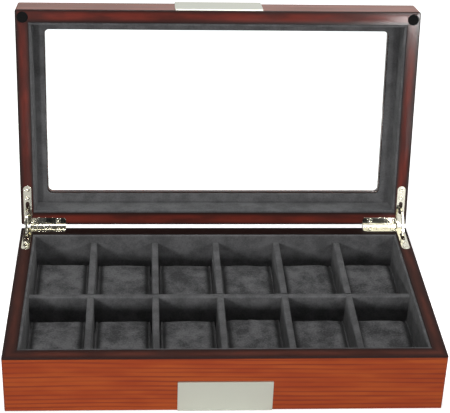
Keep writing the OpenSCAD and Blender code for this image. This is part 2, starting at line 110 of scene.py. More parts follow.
# %% Camera
IMAGE_W = 450
FOCAL_PX = 1315.7
CENTRE_OFF_PX = (16.9, -6.8)
CAMERA_MM = (-62.9, -897.4, 650.2)
PITCH_YAW_ROLL = (29.86, 3.23, 1.65)
pitch, yaw, roll = (math.radians(a) for a in PITCH_YAW_ROLL)
forward = Vector((math.sin(yaw) * math.cos(pitch), math.cos(yaw) * math.cos(pitch), -math.sin(pitch)))
level = Vector((math.cos(yaw), -math.sin(yaw), 0))
right = math.cos(roll) * level + math.sin(roll) * level.cross(forward)
up = right.cross(forward)
camera = bpy.data.objects.new("camera", bpy.data.cameras.new("camera"))
scene.collection.objects.link(camera)
camera.data.sensor_width = 36
camera.data.lens = camera.data.sensor_width * FOCAL_PX / IMAGE_W
camera.data.shift_x = CENTRE_OFF_PX[0] / IMAGE_W
camera.data.shift_y = CENTRE_OFF_PX[1] / IMAGE_W
place = Matrix((right, up, -forward)).transposed().to_4x4()
place.translation = Vector(CAMERA_MM) * MM
camera.matrix_world = place
scene.camera = camera
print("lens", round(camera.data.lens, 1), "mm")

# %% [markdown]
# A finish is a small tree of shader nodes. One helper adds a node, sets its properties, feeds its
# inputs with values or with the outputs of other nodes, and gives back the output that goes on. A
# colour is written as it looks on a screen and turned to the linear light that shaders work in.


# %% Nodes and colours
def node(mat, kind, *inputs, out=0, at=(), **settings):
    """One shader node. inputs fill its sockets in turn, or those named by at; out names its output."""
    made = mat.node_tree.nodes.new("ShaderNode" + kind)
    for name, value in settings.items():
        setattr(made, name, value)
    for socket, value in zip(at or range(len(inputs)), inputs):
        if isinstance(value, bpy.types.NodeSocket):
            mat.node_tree.links.new(value, made.inputs[socket])
        else:
            made.inputs[socket].default_value = value
    return made.outputs[out]


def tone(code):
    """Linear colour of an sRGB hex code: each channel is bent by the screen's curve."""
    channels = [int(code[i:i + 2], 16) / 255 for i in (1, 3, 5)]
    return (*(c / 12.92 if c <= 0.04045 else ((c + 0.055) / 1.055) ** 2.4 for c in channels), 1)


# Sockets and settings that several nodes share: a smooth step, a mix of two colours or of two numbers,
# and the inputs of a noise and of a bump
STEP = {"interpolation_type": "SMOOTHSTEP"}
MIX = {"data_type": "RGBA", "at": (0, 6, 7), "out": 2}
MIX_NUMBERS = {"at": (0, 2, 3)}
NOISE = ("Vector", "Scale", "Detail", "Roughness")
BUMP = ("Strength", "Distance", "Height", "Normal")
print("mid grey in linear light:", round(tone("#808080")[0], 3))


# %% Materials, and places on the box
def finish(name, **values):
    """A new material and its Principled shader, with these values set on the shader's own sockets."""
    mat = bpy.data.materials.new(name)
    mat.use_nodes = True
    shader = mat.node_tree.nodes["Principled BSDF"]
    for socket, value in values.items():
        shader.inputs[socket.replace("_", " ")].default_value = value
    return mat, shader


def feed(mat, shader, **sockets):
    """Links each of these outputs to the shader's input of that name."""
    for name, socket in sockets.items():
        mat.node_tree.links.new(socket, shader.inputs[name.replace("_", " ")])


def place_mm(mat, in_lid=False):
    """Place on the shut box in millimetres, worked out from the object's own coordinates."""
    spot = node(mat, "TexCoord", out="Object")
    if in_lid:
        spot = node(mat, "Mapping", spot, shut.translation, shut.to_euler())
    return node(mat, "VectorMath", spot, 1 / MM, at=("Vector", "Scale"), operation="SCALE")


def cloud(mat, spot, lump_mm, detail=2.0, rough=0.5):
    """Cloudy pattern from 0 to 1 whose lumps are lump_mm across along x, y and z."""
    shrunk = node(mat, "VectorMath", spot, lump_mm, operation="DIVIDE")
    return node(mat, "TexNoise", shrunk, 1.0, detail, rough, at=NOISE)


def dress(mat, *names):
    """Puts the material in the slots of these CAD nodes."""
    for name in names:
        mesh = nodes[name].data
        if not mesh.materials:
            mesh.materials.append(mat)
        for i in range(len(mesh.materials)):
            mesh.materials[i] = mat
    print(mat.name, "on", len(names), "nodes")


# %% [markdown]
# The rails are covered with an open-grained veneer that is stained cherry red and lacquered satin.
# Growth rings cut lengthwise show as thin dark lines some 4 mm apart, which waver slowly along the
# rail. A line is the peak of a zigzag of the height on the face, and slow clouds stretched along the
# grain push the zigzag up and down, so that lines bend together, close up and spread. At the corners
# the rails meet in mitres, and the grain turns there: it runs from front to rear wherever a point lies
# nearer to a side of the case than to its front or rear.

# %% Where the grain runs
RING_STEP = 4.1
RING_LEAN = 0.21
BENDS = (((520, 120, 60), 16.0), ((150, 60, 14), 3.2), ((60, 30, 5), 1.0))


def below_face(mat, half_size, across):
    """Millimetres below the nearer of two opposite outer faces: half the case's size less |across|."""
    from_middle = node(mat, "Math", across, operation="ABSOLUTE")
    return node(mat, "Math", half_size / MM, from_middle, operation="SUBTRACT")


def with_grain(mat, x, y):
    """The coordinate along the grain and the one into the wood, and mm below the nearest outer face."""
    side = below_face(mat, half_w, x)
    front = below_face(mat, half_d, y)
    at_side = node(mat, "Math", side, front, operation="LESS_THAN")
    along = node(mat, "Mix", at_side, x, y, **MIX_NUMBERS)
    into = node(mat, "Mix", at_side, y, x, **MIX_NUMBERS)
    return along, into, node(mat, "Math", side, front, operation="MINIMUM")


def growth_lines(mat, wood, into, z):
    """1 on a ring's dark line: peak of a zigzag of height plus clouds that bend and space the lines."""
    height = node(mat, "Math", into, RING_LEAN, z, operation="MULTIPLY_ADD")
    for lump, push in BENDS:
        height = node(mat, "Math", cloud(mat, wood, lump, 1), push, height, operation="MULTIPLY_ADD")
    ring = node(mat, "Math", height, RING_STEP, operation="DIVIDE")
    zigzag = node(mat, "Math", ring, 0.5, operation="PINGPONG")
    line = node(mat, "MapRange", zigzag, 0.22, 0.5, **STEP)
    dark = node(mat, "MapRange", cloud(mat, wood, (70, 20, 3.5)), 0.3, 0.65, 0.3, 1.0, **STEP)
    return node(mat, "Math", line, dark, operation="MULTIPLY")


print("a dark line every", RING_STEP, "mm")

# %% [markdown]
# Two stains lie on the veneer in soft patches. The fibres take up more stain than the wood between
# them, and the growth lines take up most. On the lid's front, grey streaks are a painted sheen: the grey
# glare this face shows at a low angle. They hold little lacquer, so they stay dull where the face shines.

# %% The veneer's colours
STAINS = ("#974720", "#8a3b1c")
FIBRE = "#8c3420"
RING_LINE = "#66291f"
# Painted sheen: the grey glare on the lid's front face
PAINTED_SHEEN_GREY = "#403328"


def stained_body(mat, wood, line, fibre):
    """Two stains in patches, then darker fibres, then the growth lines over both."""
    patch = node(mat, "MapRange", cloud(mat, wood, (60, 40, 13), 2, 0.6), 0.35, 0.65, **STEP)
    body = node(mat, "Mix", patch, *(tone(code) for code in STAINS), **MIX)
    soaked = node(mat, "MapRange", fibre, 0.35, 0.8, 0.0, 0.5, **STEP)
    body = node(mat, "Mix", soaked, body, tone(FIBRE), **MIX)
    return node(mat, "Mix", node(mat, "Math", line, 0.8, operation="MULTIPLY"), body, tone(RING_LINE), **MIX)


def front_with_painted_sheen(mat, shader, wood, y, body):
    """Painted sheen: grey streaks within a millimetre of the lid's front face, with little lacquer on them.
    """
    on_front = node(mat, "MapRange", y, 1 - half_d / MM, 0.5 - half_d / MM)
    streak = node(mat, "MapRange", cloud(mat, wood, (90, 9, 0.9), 3), 0.42, 0.58, **STEP)
    feed(mat, shader, Coat_Weight=node(mat, "MapRange", streak, 0.0, 1.0, 0.45, 0.12))
    # Painted sheen, on the lid's front face only
    grey = node(mat, "MapRange", streak, 0.0, 1.0, 0.2, 0.7)
    grey = node(mat, "Math", on_front, grey, operation="MULTIPLY")
    return node(mat, "Mix", grey, body, tone(PAINTED_SHEEN_GREY), **MIX)


print("stains", *STAINS)

# %% [markdown]
# The rims, where lid and base meet, have no veneer. They are sprayed nearly black along both edges, and
# some red shows along their middle, in cloudy patches. The base's rear rim, next to the opened lid, is
# blackest: a painted shadow of the lid. Below its skin, in the window's edge and in the recesses for the
# hinges, the wood is painted dark as shade.

# %% The sprayed rims
RIM = wall / MM
RIM_BLACK = "#241310"
# Painted shadow of the opened lid on the base's rear rim
REAR_LID_SHADOW = "#170c0a"
RIM_RED = {True: "#64241a", False: "#4e281f"}
RED_FROM_EDGE = {True: (0.3, 4.2), False: (0.5, RIM / 2)}


def rim_colour(mat, wood, inward, y, in_lid):
    """Black, and red towards the middle of the rim, which is as wide as the wall is thick."""
    from_edge = node(mat, "Math", inward, RIM / 2, operation="PINGPONG")
    middle = node(mat, "MapRange", from_edge, *RED_FROM_EDGE[in_lid], **STEP)
    worn = node(mat, "MapRange", cloud(mat, wood, (34, 9, 9), 3), 0.3, 0.68, 0.35, 1.0, **STEP)
    red = node(mat, "Math", middle, worn, operation="MULTIPLY")
    black = tone(RIM_BLACK)
    # Painted shadow of the lid: towards the rear the base's rim loses its red and turns blacker
    if not in_lid:
        out_of_lid_shadow = node(mat, "MapRange", y, half_d / MM - 30, half_d / MM - 8, 1.0, 0.0, **STEP)
        red = node(mat, "Math", red, out_of_lid_shadow, operation="MULTIPLY")
        black = node(mat, "Mix", out_of_lid_shadow, tone(REAR_LID_SHADOW), black, **MIX)
    return node(mat, "Mix", red, black, tone(RIM_RED[in_lid]), **MIX)


print("rim", round(RIM, 1), "mm wide")

# %% Cherry-stained veneer, lacquered satin
# Painted shade on faces that lie deeper than the veneer's skin: the window's edge and the hinge recesses
INNER_EDGE_SHADE = "#2c1a16"
SKIN = 0.9
TOP_SKIN = 0.7
RIM_EDGES = {True: (lid_z / MM + 1.2, lid_z / MM + 0.5), False: (rim_z / MM - 1.3, rim_z / MM - 0.8)}


def stained_veneer(name, in_lid=False):
    """Veneer on the outside, painted shade below its skin and a sprayed rim, told apart by their place."""
    mat, shader = finish(name, Specular_IOR_Level=0.06, Coat_Roughness=0.13)
    x, y, z = node(mat, "SeparateXYZ", place_mm(mat, in_lid)).node.outputs
    along, into, inward = with_grain(mat, x, y)
    wood = node(mat, "CombineXYZ", along, into, z)
    line = growth_lines(mat, wood, into, z)
    fibre = cloud(mat, wood, (30, 1.2, 0.5), 3, 0.6)
    body = stained_body(mat, wood, line, fibre)
    if in_lid:
        body = front_with_painted_sheen(mat, shader, wood, y, body)
    # Painted shade on faces more than the skin's depth in from the outer faces, below the lid's top
    below_top = node(mat, "Math", z, top_z / MM - TOP_SKIN, operation="LESS_THAN")
    inner_shade = node(mat, "MapRange", inward, SKIN, SKIN + 0.4)
    inner_shade = node(mat, "Math", inner_shade, below_top, operation="MULTIPLY")
    body = node(mat, "Mix", inner_shade, body, tone(INNER_EDGE_SHADE), **MIX)
    on_rim = node(mat, "MapRange", z, *RIM_EDGES[in_lid], **STEP)
    rim = rim_colour(mat, wood, inward, y, in_lid)
    feed(mat, shader, Base_Color=node(mat, "Mix", on_rim, body, rim, **MIX))
    feed(mat, shader, Roughness=node(mat, "Math", fibre, 0.2, 0.34, operation="MULTIPLY_ADD"))
    pores = node(mat, "Math", line, -0.5, fibre, operation="MULTIPLY_ADD")
    off_rim = node(mat, "Math", 1.0, on_rim, operation="SUBTRACT")
    pores = node(mat, "Math", pores, off_rim, operation="MULTIPLY")
    feed(mat, shader, Normal=node(mat, "Bump", 0.5, 0.05 * MM, pores, at=BUMP))
    return mat


rails = [name for name in nodes if name.endswith("_rail")]
lid_wood = ["lid_top_frame", *(name for name in rails if name.startswith("lid"))]
dress(stained_veneer("cherry_veneer_base"), *(name for name in rails if name not in lid_wood))
dress(stained_veneer("cherry_veneer_lid", in_lid=True), *lid_wood)

# %% [markdown]
# Linings, dividers and cushions are covered with microfibre suede. Its nap lies one way or the other
# wherever a finger has brushed it, so it shows cloudy light and dark patches a centimetre or so wide.
# The fibres themselves are far finer than a pixel, so their grain is drawn 1.5 mm wide to show at all.
# Sheen lifts the cloth where it is seen at a low angle. On the cushions an attribute of the mesh holds
# painted shade, which darkens the cloth in the seams, on the sides and at the ends.

# %% Grey microfibre suede
FIBRE_MM = 1.5
# Painted shade in the cushions' seams, on their sides and at their ends
PAINTED_SHADE_TONE = "#161616"


def suede(name, dark, light, patch_mm, in_lid=False, crease_shaded=False):
    """Suede between two tones: the share of the light one is a brushed patch plus the fibres' grain."""
    touch = {"Roughness": 0.95, "Specular_IOR_Level": 0.02}
    mat, shader = finish(name, **touch, Sheen_Weight=0.06, Sheen_Roughness=0.45)
    spot = place_mm(mat, in_lid)
    nap = cloud(mat, spot, (patch_mm,) * 3, 3, 0.6)
    fibre = cloud(mat, spot, (FIBRE_MM,) * 3, 4, 0.75)
    share = node(mat, "MapRange", nap, 0.25, 0.75, -1.25, -0.15, **STEP)
    share = node(mat, "Math", fibre, 2.4, share, operation="MULTIPLY_ADD")
    colour = node(mat, "Mix", share, tone(dark), tone(light), **MIX)
    # Painted shade, read from the mesh's attribute
    if crease_shaded:
        crease_shade = node(mat, "Attribute", attribute_name="crease_shade", out="Fac")
        crease_shade = node(mat, "Math", crease_shade, 0.85, operation="MULTIPLY")
        colour = node(mat, "Mix", crease_shade, colour, tone(PAINTED_SHADE_TONE), **MIX)
    feed(mat, shader, Base_Color=colour)
    relief = node(mat, "Math", nap, 1.5, fibre, operation="MULTIPLY_ADD")
    feed(mat, shader, Normal=node(mat, "Bump", 0.7, 0.16 * MM, relief, at=BUMP))
    return mat


cloth = [name for name in nodes if "lining" in name or "divider" in name]
cloth += ["floor_board", "glass_retainer"]
lid_cloth = ["glass_retainer", *(name for name in cloth if name.startswith("lid"))]
dress(suede("suede_lining_base", "#4a4a4b", "#5e5e5f", 13.0), *(n for n in cloth if n not in lid_cloth))
dress(suede("suede_lining_lid", "#4a4a4b", "#5e5e5f", 15.0, in_lid=True), *lid_cloth)
cushion_suede = suede("suede_cushion", "#3e3e3f", "#666667", 16.0, crease_shaded=True)

# %% [markdown]
# The plates are thin steel, brushed along their length and left satin, so they mirror the bright room
# as one even pale grey. The real lines are finer than a pixel, and a rough mirror stands for most of
# them.


# %% Satin steel
def satin_steel(name, in_lid=False):
    """Brushed steel: lines 0.15 mm apart along x in the roughness and the relief."""
    mat, shader = finish(name, Base_Color=tone("#bec0b5"), Metallic=1.0, Roughness=0.42)
    spot = place_mm(mat, in_lid)
    brushed = cloud(mat, spot, (45, 0.3, 0.15), 2, 0.6)
    rough = node(mat, "Math", brushed, 0.12, 0.34, operation="MULTIPLY_ADD")
    handled = cloud(mat, spot, (22, 22, 22))
    feed(mat, shader, Roughness=node(mat, "Math", handled, 0.06, rough, operation="MULTIPLY_ADD"))
    feed(mat, shader, Normal=node(mat, "Bump", 0.5, 0.01 * MM, brushed, at=BUMP))
    return mat


dress(satin_steel("satin_steel_base"), "base_plate")
dress(satin_steel("satin_steel_lid", in_lid=True), "lid_plate")

# %% [markdown]
# The hinges are stamped steel with bright nickel plating: smooth, faintly warm, and rounded over at
# every edge, which a Bevel node feigns on the sharp edges of the solids. Stamping leaves the metal a
# little uneven, so that its mirror image wobbles.

# %% Bright nickel
ROUNDED_MM = 0.2


def bright_nickel():
    """Polished plating: scuffs a millimetre wide in its roughness, dents of 4 mm in its relief."""
    mat, shader = finish("bright_nickel_plating", Base_Color=tone("#cfccbd"), Metallic=1.0, Roughness=0.12)
    spot = place_mm(mat)
    scuffs = cloud(mat, spot, (1.2, 1.2, 1.2), 3, 0.7)
    feed(mat, shader, Roughness=node(mat, "MapRange", scuffs, 0.35, 0.8, 0.06, 0.22, **STEP))
    rounded = node(mat, "Bevel", ROUNDED_MM * MM, samples=4)
    dents = cloud(mat, spot, (4, 4, 4), 1)
    feed(mat, shader, Normal=node(mat, "Bump", 0.6, 0.08 * MM, dents, rounded, at=BUMP))
    return mat


nickel = bright_nickel()
dress(nickel, *(name for name in nodes if name.startswith(("hinge_", "stay_"))))

# %% [markdown]
# The bumpers are punched from black rubber, the sheet underneath is pressed wool felt, and the bottom
# panel is brown hardboard. All three are dull and differ in their grain: dust-fine on rubber, matted
# and soft on felt, flecked on hardboard.


# %% Rubber, felt and hardboard
def plain_grain(name, dark, light, grain_mm, depth_mm, **values):
    """A dull material between two tones with one fine grain, in its colour and its relief."""
    mat, shader = finish(name, **values)
    grain = cloud(mat, place_mm(mat), grain_mm, 4, 0.7)
    share = node(mat, "MapRange", grain, 0.3, 0.7, **STEP)
    feed(mat, shader, Base_Color=node(mat, "Mix", share, tone(dark), tone(light), **MIX))
    feed(mat, shader, Normal=node(mat, "Bump", 0.8, depth_mm * MM, grain, at=BUMP))
    return mat


dull = {"Roughness": 0.7, "Specular_IOR_Level": 0.08}
rubber = plain_grain("black_rubber", "#040404", "#0b0b0b", (0.5, 0.5, 0.5), 0.03, **dull)
wool_felt = plain_grain("pressed_wool_felt", "#1f1f20", "#3a3a3c", (1.5, 0.5, 0.5), 0.25, Roughness=1.0)
hardboard = plain_grain("brown_hardboard", "#4a3122", "#654632", (2.5, 2.5, 1.0), 0.08, Roughness=0.75)
dress(rubber, "lid_bumper_left", "lid_bumper_right")
dress(wool_felt, "bottom_felt")
dress(hardboard, "bottom_panel")

# %% [markdown]
# The pane is plain float glass with a trace of green. It bends what lies behind it, and it has to let
# the lamps through to the cushions when the lid is shut, so a shadow ray meets a clear shader instead.


# %% Float glass
def float_glass():
    """Clear glass that a shadow ray passes straight through."""
    clear_values = {"Roughness": 0.0, "IOR": 1.5, "Transmission_Weight": 1.0}
    mat, shader = finish("float_glass", Base_Color=tone("#f8fcfb"), **clear_values)
    clear = node(mat, "BsdfTransparent", tone("#f0f6f4"))
    shadow = node(mat, "LightPath", out="Is Shadow Ray")
    both = node(mat, "MixShader", shadow, shader.outputs[0], clear)
    mat.node_tree.links.new(both, mat.node_tree.nodes["Material Output"].inputs["Surface"])
    return mat


dress(float_glass(), "glass_pane")

# %% [markdown]
# Each cushion is a soft block in a suede cover. A stiff strip is sewn along its left and right side,
# with a deep seam beside it, and the cover swells between the seams into a low crown. The shape is one
# closed cross-section, carried from front to rear and lowered towards both ends, so that they round
# off.

# %% The cushion's cross-section
STRIP_W, STRIP_DROP, STRIP_LEAN = 1.6, 0.8, 0.2
SEAM_LEAN, SEAM_DEPTH = 0.3, 2.2
ROLL_W, CROWN_FALL = 3.6, 0.5
DRAW_IN, BELLY = 1.4, 0.45


def cushion_outline(width, height):
    """Half of it: floor, drawn-in side, strip, seam, roll and crown. The rest is its mirror image."""
    strip_z = height - STRIP_DROP
    seam_x, seam_z = width / 2 - STRIP_W, strip_z - SEAM_DEPTH
    foot_x, shoulder_z = seam_x - SEAM_LEAN, height - CROWN_FALL
    half = [(width / 2 - DRAW_IN, 0.0), (width / 2, BELLY * height), (width / 2 - STRIP_LEAN, strip_z)]
    half += [(seam_x, strip_z), (foot_x, seam_z)]
    turn = np.linspace(0.1, 1, 10) * math.pi / 2
    roll_x = foot_x - ROLL_W * 2 * turn / math.pi
    half += zip(roll_x, seam_z + (shoulder_z - seam_z) * np.sin(turn))
    share = np.linspace(1, 0, 9)[1:]
    half += zip(share * (foot_x - ROLL_W), height - CROWN_FALL * share ** 2)
    right_half = np.array(half)
    left_half = right_half[-2::-1] * (-1, 1)
    return np.vstack([right_half, left_half])


def closed_curve(corners, count, soften):
    """count points along a closed outline, softened within soften and closer together at the seams."""
    loop = np.vstack([corners, corners[:1]])
    run = np.concatenate([[0], np.cumsum(np.linalg.norm(np.diff(loop, axis=0), axis=1))])
    at = np.linspace(0, run[-1], 1500, endpoint=False)
    curve = np.stack([np.interp(at, run, loop[:, k]) for k in (0, 1)], axis=1)
    reach = int(round(soften / (at[1] - at[0])))
    window = np.hanning(2 * reach + 3)[1:-1]
    window /= window.sum()
    curve = sum(w * np.roll(curve, k, axis=0) for w, k in zip(window, range(-reach, reach + 1)))
    from_seam = np.abs(curve[:, 0]) - (corners[:, 0].max() - STRIP_W)
    near_seam = np.exp(-(from_seam / 1.5) ** 2) * (curve[:, 1] > curve[:, 1].max() / 2)
    weight = np.cumsum(1 + 5 * near_seam)
    pick = np.searchsorted(weight, np.linspace(weight[0], weight[-1], count, endpoint=False))
    return curve[pick]


cushions = sorted(name for name in nodes if name.startswith("cushion_"))
cushion_low, cushion_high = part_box(cushions[0])
print("cushion", *(round(side / MM, 1) for side in cushion_high - cushion_low), "mm")

# %% [markdown]
# Along the cushion an angle runs from one end to the other. Its cosine gives the place and its sine
# gives the height, both raised to a small power, so that the middle stays level and only the last
# millimetres bend down. The seam is left out at first and kept as a dip to press in later, because the
# cover has to be smooth while it is blown up.

# %% Its run from end to end, and the dip of the seams
ACROSS, ALONG = 240, 131
SOFTEN = 0.35
END_POWER, END_ANGLE = 11.0, 0.03
angle = np.linspace(END_ANGLE, math.pi - END_ANGLE, ALONG)[:, None]
run_y = -np.sign(np.cos(angle)) * np.abs(np.cos(angle)) ** (2 / END_POWER)
lift = np.sin(angle) ** (2 / END_POWER)


def section_and_dip(width, height):
    """Points of the section, and how far each lies below a straight cover from the crown to the strip."""
    ring = closed_curve(cushion_outline(width, height), ACROSS, SOFTEN)
    seam_x, off_middle = width / 2 - STRIP_W, np.abs(ring[:, 0])
    crown_x = seam_x - SEAM_LEAN - ROLL_W
    unsewn = np.interp(off_middle, (crown_x, seam_x), (height - CROWN_FALL, height - STRIP_DROP))
    sewn_down = (ring[:, 1] > 0.6 * height) & (off_middle < seam_x + 0.1)
    return ring, np.where(sewn_down, np.clip(unsewn - ring[:, 1], 0, None), 0)


print("cushion grid", ALONG, "x", ACROSS, "points")


# %% Soft unevenness
def smooth(value, start, end):
    """Smooth step of an array: 0 up to start, 1 past end."""
    share = np.clip((value - start) / (end - start), 0, 1)
    return share * share * (3 - 2 * share)


def soft_noise(x, y, seed, size, count=24):
    """Smooth noise of about -1 to 1: a sum of waves of random direction, about size long."""
    random = np.random.default_rng(seed)
    turn = random.uniform(0, 2 * math.pi, count)
    wave_mm = size * random.uniform(0.7, 1.8, count)
    phase = random.uniform(0, 2 * math.pi, count)
    total = np.zeros(x.shape)
    for a, mm, p in zip(turn, wave_mm, phase):
        total += np.sin((x * math.cos(a) + y * math.sin(a)) * 2 * math.pi / mm + p)
    return total * 1.4 / count ** 0.5


HOLLOWS = ((26, 0.22, 0), (9, 0.08, 50))
END_WAVE_MM, END_WAVE_SEED, END_HOLLOW = 22, 90, 0.35
END_NARROWING = 0.012


def soft_form(size, ring, dip, seed):
    """The section times the lift along the run, with hollows of noise pressed into its top and ends."""
    width, length, height = size
    x = ring[:, 0] * (1 - END_NARROWING * np.abs(run_y) ** 8)
    y = np.broadcast_to(run_y * length / 2, x.shape)
    z = (ring[:, 1] + dip) * lift
    inside = np.clip((width / 2 - STRIP_W - 1.0 - np.abs(x)) / 5, 0, 1)
    top = inside * np.clip(z / height * 2 - 0.8, 0, 1)
    wave = END_HOLLOW * np.sign(run_y) * np.abs(run_y) ** 20
    for size_mm, depth, draw in HOLLOWS:
        z = z - depth * top * (1 + soft_noise(x, y, seed + draw, size_mm))
    upper = np.clip(z / height * 2 - 1, 0, 1)
    y = y - wave * (1 + upper * soft_noise(x, y, seed + END_WAVE_SEED, END_WAVE_MM))
    return np.stack([x, y, z], axis=-1)


print("hollows", [depth for _, depth, _ in HOLLOWS], "mm deep")

# %% [markdown]
# A stuffed cover pulls into soft folds of its own, and a cloth simulation finds them. A coarse copy of
# the cover is blown up from inside for twenty frames with gravity off. It is simulated at ten times its
# size, as Blender's cloth is made for things the size of clothes. How far each point moved is read off,
# kept within a cap so that the cushion stays clear of the dividers, and spread over the fine grid.

# %% The cover blown up as cloth
CLOTH_STEP = 5
CLOTH_SCALE = 10
CLOTH_CAP = (0.3, 0.5, 0.8)
CLOTH_FRAMES = 20
PRESSURE = 4


def grid_quads(rows, columns):
    """Quads of a grid of rows that each close on themselves, and one face at either end."""
    first = np.arange(rows - 1)[:, None] * columns
    here = first + np.arange(columns)
    beside = first + (np.arange(columns) + 1) % columns
    quads = np.stack([here, here + columns, beside + columns, beside], axis=-1)
    near_end = list(range(columns))
    far_end = list(range(rows * columns - 1, (rows - 1) * columns - 1, -1))
    return [*quads.reshape(-1, 4).tolist(), near_end, far_end]


def spread(fine, coarse, closed):
    """Weights that carry a coarse row over to a fine one: cosine humps that overlap and add up to 1."""
    apart = np.abs(np.arange(fine)[:, None] / CLOTH_STEP - np.arange(coarse))
    apart = np.minimum(apart, coarse - apart) if closed else apart
    return 0.5 + 0.5 * np.cos(math.pi * np.clip(apart, 0, 1))


def blow_up(coarse):
    """The same grid of points after the simulation: cloth with pressure inside it and no gravity."""
    mesh = bpy.data.meshes.new("cover")
    scaled = coarse.reshape(-1, 3) * MM * CLOTH_SCALE
    mesh.from_pydata(scaled.tolist(), [], grid_quads(*coarse.shape[:2]))
    cover = bpy.data.objects.new("cover", mesh)
    scene.collection.objects.link(cover)
    settings = cover.modifiers.new("cloth", "CLOTH").settings
    settings.use_pressure = True
    settings.uniform_pressure_force = PRESSURE
    settings.effector_weights.gravity = 0
    for step in range(1, CLOTH_FRAMES + 1):
        scene.frame_set(step)
    blown = cover.evaluated_get(bpy.context.evaluated_depsgraph_get()).to_mesh()
    moved = np.empty(len(blown.vertices) * 3)
    blown.vertices.foreach_get("co", moved)
    scene.frame_set(1)
    bpy.data.objects.remove(cover)
    bpy.data.meshes.remove(mesh)
    return moved.reshape(coarse.shape) / MM / CLOTH_SCALE


def cloth_swell(points):
    """How far each point of a cover moves, in mm: the coarse move, capped by tanh and spread out."""
    coarse = points[::CLOTH_STEP, ::CLOTH_STEP]
    move = blow_up(coarse) - coarse
    move = np.tanh(move / CLOTH_CAP) * CLOTH_CAP
    rows, columns = coarse.shape[:2]
    over_rows, over_columns = spread(ALONG, rows, False), spread(ACROSS, columns, True)
    return np.einsum("ir,rck,jc->ijk", over_rows, move, over_columns)


print("a point moves by", CLOTH_CAP, "mm at most")

# %% [markdown]
# Painted shade makes the cloth nearly black where shade falls: down in the seams, on the sides, and a
# little at both ends. The strip's rounded top gets less of it, as a painted highlight. Each point keeps
# its share in the attribute that the suede reads.

# %% Where shade is painted on the cushions
# Painted highlight on the strip's top, and painted shade at both ends
STRIP_HIGHLIGHT, END_SHADE = 0.45, 0.35


def painted_shade_share(size, ring):
    """Painted shade: 1 in the seams and on the sides, less on the strip's painted highlight; or the share at
    the ends where that is more.
    """
    width, length, height = size
    past_seam = np.abs(ring[:, 0]) - (width / 2 - STRIP_W)
    on_top = ring[:, 1] > 0.6 * height
    seam_shade = np.where(on_top, smooth(past_seam, -6.5, -0.4), 1.0)
    strip_highlight = STRIP_HIGHLIGHT * on_top * np.exp(-((past_seam - 0.8) / 0.45) ** 2)
    at_end = END_SHADE * smooth(np.abs(run_y) * length / 2, length / 2 - 6, length / 2 - 1)
    return np.maximum(seam_shade - strip_highlight, at_end)


print("the strip keeps", STRIP_HIGHLIGHT, "of its light")

# %% Twelve cushions
SEAM_END = 2.5


def cushion_mesh(name, low, high, seed):
    """The soft form plus the cloth's move, then the seams pressed in, moved to the cushion's place."""
    size = width, length, height = (high - low) / MM
    ring, dip = section_and_dip(width, height)
    points = soft_form(size, ring, dip, seed)
    points += cloth_swell(points) * smooth(points[..., 2:], 0.15 * height, 0.6 * height)
    sewn = np.clip((1 - np.abs(run_y)) * length / 2 / SEAM_END, 0, 1)
    points[..., 2] -= dip * sewn * lift
    points[..., 2] = np.clip(points[..., 2], 0, height)
    points += ((low.x + high.x) / 2 / MM, (low.y + high.y) / 2 / MM, low.z / MM)
    mesh = bpy.data.meshes.new(name)
    mesh.from_pydata((points.reshape(-1, 3) * MM).tolist(), [], grid_quads(ALONG, ACROSS))
    mesh.shade_smooth()
    # Painted shade, kept at each point for the suede
    crease_shade = mesh.attributes.new("crease_shade", "FLOAT", "POINT")
    crease_shade.data.foreach_set("value", painted_shade_share(size, ring).ravel())
    mesh.materials.append(cushion_suede)
    return mesh


def add_piece(name, mesh, body, slot, *stands_for):
    """Links a finished mesh as a piece that rides on a body and stands for CAD nodes."""
    piece = bpy.data.objects.new(name, mesh)
    scene.collection.objects.link(piece)
    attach(piece, body)
    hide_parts(*stands_for)
    return piece


for seed, name in enumerate(cushions):
    mesh = cushion_mesh(name + "_soft", *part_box(name), seed)
    cushion = add_piece(name + "_soft", mesh, name, "cushion_suede", name)
print("cushions", len(cushions), "faces each", len(mesh.polygons))

# %% [markdown]
# Each hinge screw has a countersunk head with a cross recess. The head is a turned shape, so a polar
# grid describes it: rings from the middle outwards, with the recess pressed into their height.

# %% One crossed screw
HEAD_R, HEAD_H, SHANK_R, SCREW_L = 2.2, 1.0, 1.0, 8.0
CROSS_ARM, CROSS_HALF, CROSS_DEPTH = 1.3, 0.3, 0.75
DOME, SUNK = 0.08, 0.04


def screw_grid(rings=26, spokes=72):
    """Rings (r, z) from the head's middle over its edge and down the shank, the cross pressed in."""
    turn = np.linspace(0, 2 * math.pi, spokes, endpoint=False)
    top_r = np.linspace(0.02, HEAD_R - 0.12, rings)
    r = np.concatenate([top_r, [HEAD_R - 0.03, HEAD_R, SHANK_R, SHANK_R, 0.02]])[:, None]
    z = np.concatenate([np.zeros(rings), [-0.03, -0.12, -HEAD_H, -SCREW_L + 1, -SCREW_L]])[:, None]
    x, y = r * np.cos(turn), r * np.sin(turn)
    cross = np.zeros_like(x)
    for along, beside in ((x, y), (y, x)):
        arm = 1 - smooth(np.abs(beside), CROSS_HALF - 0.1, CROSS_HALF + 0.08)
        cross = np.maximum(cross, arm * (1 - smooth(np.abs(along), CROSS_ARM - 0.4, CROSS_ARM)))
    dome = DOME * (1 - (r / HEAD_R) ** 2)
    pressed = dome - CROSS_DEPTH * cross * (1 - 0.3 * r / CROSS_ARM)
    is_top = (np.arange(len(r)) < rings)[:, None]
    return np.stack([x, y, z - SUNK + np.where(is_top, pressed, 0)], axis=-1)


grid = screw_grid()
screw_faces = grid_quads(*grid.shape[:2])
print("screw of", len(screw_faces), "faces")


